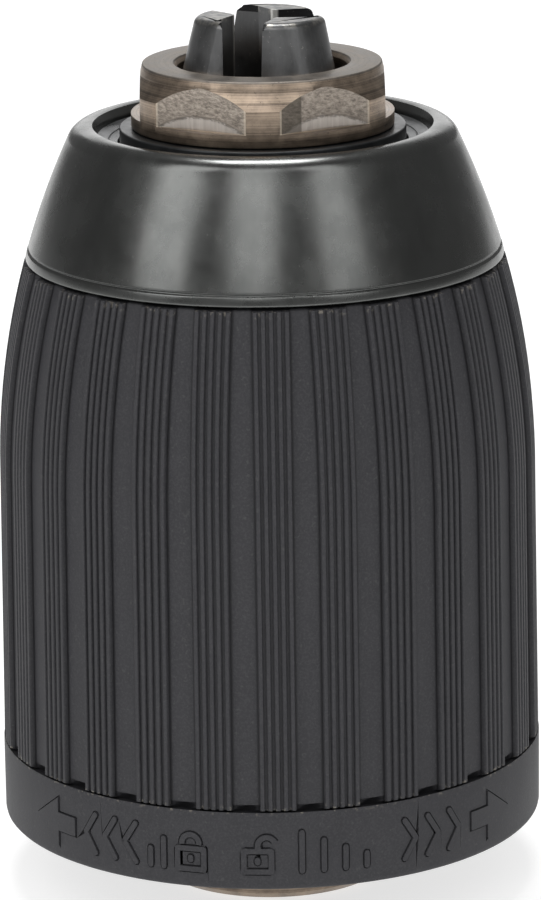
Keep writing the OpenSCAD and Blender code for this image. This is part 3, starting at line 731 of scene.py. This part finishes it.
# ---------------------------------------------------------------- collar, washer, ring, cover
def front_collar():
    """The collar: a bead along its lower edge, the crowned wall and the rolled rim."""
    washer_r = box_mm("front_washer")[1].x
    low = COLLAR_LOW + 1.1
    roll, roll_r, roll_z = 1.65, 13.72, COLLAR_HIGH - 1.65
    wall = [(outline_r(z), z, 0) for z in spaced(low + 1.15, roll_z + roll * 0.40, 14)]
    crest = [(roll_r + roll * math.cos(math.radians(a)),
              roll_z + roll * math.sin(math.radians(a)), 0) for a in spaced(25.5, 105, 14)]
    corners = ([(16.6, COLLAR_LOW, 0), (17.88, COLLAR_LOW, 0), (17.88, low, 0),
                (outline_r(low) - 0.02, low, 0.14),
                (outline_r(low + 0.72) + 0.02, low + 0.72, 0.16),
                (outline_r(low + 0.86) - 0.13, low + 0.86, 0.06),
                (outline_r(low + 1.0), low + 1.0, 0.05)] + wall + crest +
               [(washer_r + 0.10, WASHER_HIGH + 0.36, 0.25), (washer_r, WASHER_HIGH + 0.06, 0),
                (washer_r, WASHER_LOW, 0), (outline_r(WASHER_LOW) - 1.5, WASHER_LOW, 0),
                (16.9, low + 0.6, 0)])
    return dress(turned("front_collar_shell", rounded(corners), sides=256, smooth=35.0),
                 "collar_steel")


def front_washer():
    """The dished washer inside the collar's rim."""
    inner = RING_R + RING_GAP
    outer = box_mm("front_washer")[1].x
    step = outer - 0.95
    corners = [(inner, WASHER_LOW, 0), (outer, WASHER_LOW, 0), (outer, WASHER_HIGH, 0.08),
               (step + 0.06, WASHER_HIGH - 0.32, 0.10), (step, WASHER_HIGH - 0.42, 0.04),
               (step - 0.08, WASHER_HIGH - 0.34, 0.04), (inner, WASHER_HIGH - 0.48, 0.10)]
    return dress(turned("front_washer_disc", rounded(corners), smooth=25.0), "washer_steel")


def nose_ring():
    """The black ring round the neck."""
    corners = [(NECK_R, RING_LOW, 0), (RING_R, RING_LOW, 0.08), (RING_R, RING_HIGH, 0.14),
               (NECK_R + 0.72, RING_HIGH - 0.02, 0.05), (NECK_R, RING_HIGH, 0)]
    return dress(turned("nose_ring_band", rounded(corners), smooth=35.0), "black_oxide")


def rear_cover():
    """The dust cover at the sleeve's rear, with a shallow groove in its face."""
    low, high = COVER_LOW, COVER_HIGH
    corners = [(HUB_R + 0.08, low + 0.12, 0.05), (11.2, low + 0.12, 0.05), (11.5, low + 0.42, 0.1),
               (17.6, low + 0.42, 0.1), (17.9, low, 0.1), (COVER_R - 0.12, low, 0.1),
               (COVER_R, low + 0.2, 0), (COVER_R, high, 0), (HUB_R + 0.08, high, 0.1)]
    return dress(turned("rear_cover_disc", rounded(corners), smooth=25.0), "cover_plastic")


# ---------------------------------------------------------------- chuck body
def hex_cutter(angle):
    """The space beside one flat of the nose's hexagon."""
    outline = [(HEX_OFFSET, -5.2), (12, -5.2), (12, 5.2), (HEX_OFFSET, 5.2)]
    cutter = prism("hex_cutter", outline, HEX_LOW, BODY_LEN + 1)
    cutter.data.transform(Matrix.Rotation(math.radians(angle), 4, "Z"))
    return cutter


def jaw_passage(angle):
    """The round passage that a jaw slides in."""
    deselect()
    bpy.ops.mesh.primitive_cylinder_add(vertices=96, radius=JAW_PASSAGE_R * MM, depth=0.14)
    cutter = named("jaw_passage")
    spot = Vector((JAW_AXIS_NOSE * MM, 0, BODY_LEN * MM))
    lean = Matrix.Translation(spot) @ Matrix.Rotation(math.radians(-JAW_LEAN), 4, "Y")
    cutter.data.transform(Matrix.Rotation(math.radians(angle), 4, "Z") @ lean)
    return cutter


def chuck_body():
    """The body: hub, flange, core, barrel and hexagon nose, with the three jaw passages."""
    clip = box_mm("rear_clip")
    flange = box_mm("bearing_rear_race")[0].z
    ratchet = box_mm("ratchet_ring")[0].z
    low_ring, high_ring = RING_LOW - 0.2, BODY_LEN - NOSE_H
    corners = [
        (SOCKET_R, 0.5, 0), (SOCKET_R + 0.5, 0, 0.08), (HUB_R - 0.55, 0, 0.10), (HUB_R, 0.55, 0.15),
        (HUB_R, clip[0].z, 0), (HUB_R - 0.5, clip[0].z, 0), (HUB_R - 0.5, clip[1].z, 0),
        (HUB_R, clip[1].z, 0), (HUB_R, flange - 10.5, 0), (FLANGE_LOW_R, flange - 4.5, 0.2),
        (FLANGE_R, flange, 0.1), (CORE_R, flange, 0), (CORE_R, ratchet - 0.2, 0),
        (BARREL_R, ratchet - 0.2, 0), (BARREL_R, low_ring, 0.1), (NECK_R, low_ring, 0),
        (NECK_R, high_ring, 0),
        (NOSE_R, high_ring, 0.10), (NOSE_R, BODY_LEN - 2.1, 0.05),
        (NOSE_TOP_R, BODY_LEN - 0.8, 0.06), (NOSE_TOP_R - 0.2, BODY_LEN, 0.12),
        (BORE_R + 0.32, BODY_LEN, 0.10),
        (BORE_R, BODY_LEN - 0.40, 0.10), (BORE_R, BORE_FLOOR, 0), (SCREW_R, BORE_FLOOR, 0),
        (SCREW_R, SOCKET_DEPTH, 0), (SOCKET_R, SOCKET_DEPTH, 0)]
    piece = turned("chuck_body_steel", rounded(corners), sides=180)
    cut(piece, *[jaw_passage(angle) for angle in JAW_ANGLES])
    dress(piece, "turned_steel", "flat_steel")
    cut(piece, *[hex_cutter(angle) for angle in range(0, 360, 60)])
    clean(piece, smooth=28.0)
    for face in piece.data.polygons:
        for angle in range(0, 360, 60):
            way = Vector((math.cos(math.radians(angle)), math.sin(math.radians(angle)), 0))
            on_plane = abs(face.center.dot(way) / MM - HEX_OFFSET) < 0.02
            if on_plane and face.normal.dot(way) > 0.999 and face.center.z / MM > HEX_LOW:
                face.material_index = 1
    return piece


def spindle_thread():
    """The socket's inner thread: a ridge swept up the wall with the Screw modifier."""
    pitch, turns = 1.27, 11
    deselect()
    bpy.ops.mesh.primitive_circle_add(vertices=4, radius=MM)
    piece = named("spindle_thread")
    section = [(SOCKET_R + 0.12, -0.56), (SOCKET_R - 0.62, -0.09),
               (SOCKET_R - 0.62, 0.09), (SOCKET_R + 0.12, 0.56)]
    for vertex, (r, z) in zip(piece.data.vertices, section):
        vertex.co = (r * MM, 0, (z + 1.2) * MM)
    modify(piece, "SCREW", axis="Z", angle=2 * math.pi * turns, screw_offset=pitch * turns * MM,
           steps=64 * turns, render_steps=64 * turns, use_merge_vertices=False)
    edit(piece)
    ring_select(piece, lambda co: True)
    bpy.ops.mesh.edge_face_add()
    return dress(clean(piece), "turned_steel")


# ---------------------------------------------------------------- jaws
def jaw(node, angle):
    """A jaw from the CAD solid, with the outer edges of its tip rounded and its flats black."""
    deselect()
    source = frame["nodes"][node]
    piece = source.copy()
    piece.data = source.data.copy()
    piece.parent = None
    piece.matrix_world = Matrix.Identity(4)
    bpy.context.collection.objects.link(piece)
    piece.name = piece.data.name = node + "_steel"
    edit(piece)
    bpy.ops.mesh.select_all(action="SELECT")
    bpy.ops.mesh.remove_doubles(threshold=1e-7)
    bpy.ops.mesh.dissolve_limited(angle_limit=math.radians(0.05))
    mesh = bmesh.from_edit_mesh(piece.data)
    bpy.ops.mesh.select_all(action="DESELECT")
    mesh.select_mode = {"EDGE"}
    for edge in mesh.edges:
        sharp = len(edge.link_faces) == 2 and edge.calc_face_angle() > math.radians(20)
        on_tip = all(v.co.z / MM > JAW_TIP - 0.02 for v in edge.verts)
        outside = all(v.co.xy.length / MM > 2.5 for v in edge.verts)
        edge.select_set(sharp and on_tip and outside)
    mesh.select_flush_mode()
    bmesh.update_edit_mesh(piece.data)
    bpy.ops.mesh.bevel(offset=0.5 * MM, offset_type="OFFSET", segments=5, affect="EDGES",
                       clamp_overlap=False)
    bpy.ops.object.mode_set(mode="OBJECT")
    clean(piece, smooth=28.0)
    modify(piece, "WEIGHTED_NORMAL", keep_sharp=True)
    dress(piece, "jaw_steel", "jaw_black")
    grip = math.radians(angle - EDGE_TURN)
    for face in piece.data.polygons:
        middle = face.center / MM
        inward = -face.normal.x * math.cos(grip) - face.normal.y * math.sin(grip)
        sideways = -face.normal.x * math.sin(grip) + face.normal.y * math.cos(grip)
        ground = sideways > 0.3 and middle.xy.length < 3.6
        if middle.z > BODY_LEN - 12 and inward > 0.25 and not ground:
            face.material_index = 1
    return piece


# ---------------------------------------------------------------- put it together
def stand_for(piece, body, slot, *nodes):
    """Makes a piece ride a body in place of CAD nodes."""
    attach(piece, body)
    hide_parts(*nodes)


def camera():
    """A long lens in front and above, tilted down 15 degrees and rolled a little."""
    data = bpy.data.cameras.new("camera")
    data.sensor_width = 36.0
    data.lens = 189.6
    data.clip_start, data.clip_end = 0.01, 20
    eye = bpy.data.objects.new("camera", data)
    bpy.context.collection.objects.link(eye)
    eye.location = Vector((0.23, -362.8, 131.7)) * MM
    tilt = Euler((math.radians(90 - 15.04), 0, 0)).to_quaternion()
    roll = Quaternion((0, 0, 1), math.radians(-0.82))
    eye.rotation_mode = "QUATERNION"
    eye.rotation_quaternion = tilt @ roll
    bpy.context.scene.camera = eye


LIGHT_AIM = Vector((0, 0, 0.045))


def soft_light(name, around, up, distance, size, glow):
    """A soft box round the part: degrees to the viewer's right, degrees up, metres, brightness."""
    data = bpy.data.lights.new(name, "AREA")
    data.shape = "RECTANGLE"
    data.size, data.size_y = size
    data.energy = glow * 4 * size[0] * size[1]
    lamp = bpy.data.objects.new(name, data)
    turn, lift = math.radians(around - 90), math.radians(up)
    way = Vector((math.cos(turn) * math.cos(lift), math.sin(turn) * math.cos(lift), math.sin(lift)))
    lamp.location = LIGHT_AIM + way * distance
    lamp.rotation_euler = (-way).to_track_quat("-Z", "Y").to_euler()
    bpy.context.collection.objects.link(lamp)


def studio():
    """Pale paper floor, a white world and five soft boxes."""
    deselect()
    bpy.ops.mesh.primitive_plane_add(size=3.0, location=(0, 0, -0.0002))
    floor = named("floor")
    p = Paint("floor_paper", Roughness=0.9, Emission_Strength=0.72)
    tone = p.noise(0.02, detail=2)
    paper = p.mix(tone, (0.42, 0.42, 0.42), (0.46, 0.46, 0.46))
    lit = p.mix(tone, (1, 1, 1), (0.97, 0.97, 0.97))
    floor.data.materials.append(p.set(Base_Color=paper, Emission_Color=lit))
    world = bpy.data.worlds.new("studio")
    bpy.context.scene.world = world
    world.use_nodes = True
    world.node_tree.nodes["Background"].inputs["Color"].default_value = (1, 1, 1, 1)
    world.node_tree.nodes["Background"].inputs["Strength"].default_value = 0.20
    soft_light("top_box", 180, 76, 1.0, (0.40, 0.34), 11.0)
    soft_light("left_strip", -53, 38, 0.60, (0.25, 0.50), 2.2)
    soft_light("middle_strip", -6, 40, 0.60, (0.22, 0.46), 2.0)
    soft_light("right_strip", 41, 38, 0.60, (0.20, 0.50), 1.7)
    soft_light("back_box", 180, 14, 1.2, (0.7, 0.5), 1.0)
    bpy.context.scene.view_settings.view_transform = "Standard"


camera()
studio()
stand_for(grip_sleeve(), "sleeve", "grip_plastic", "grip_sleeve")
marks = band_marks("band_marks", 0.0, -MARK_SUNK, MARK_OUT)
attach(marks, "sleeve")
stand_for(front_collar(), "sleeve", "collar_steel", "front_collar")
stand_for(front_washer(), "sleeve", "washer_steel", "front_washer")
stand_for(rear_cover(), "sleeve", "cover_plastic", "rear_cover")
stand_for(nose_ring(), "chuck", "black_oxide", "nose_ring")
stand_for(chuck_body(), "chuck", "turned_steel", "chuck_body")
thread = spindle_thread()
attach(thread, "chuck")
for letter, jaw_angle in zip("abc", JAW_ANGLES):
    stand_for(jaw("jaw_" + letter, jaw_angle), "jaw_" + letter, "jaw_steel", "jaw_" + letter)
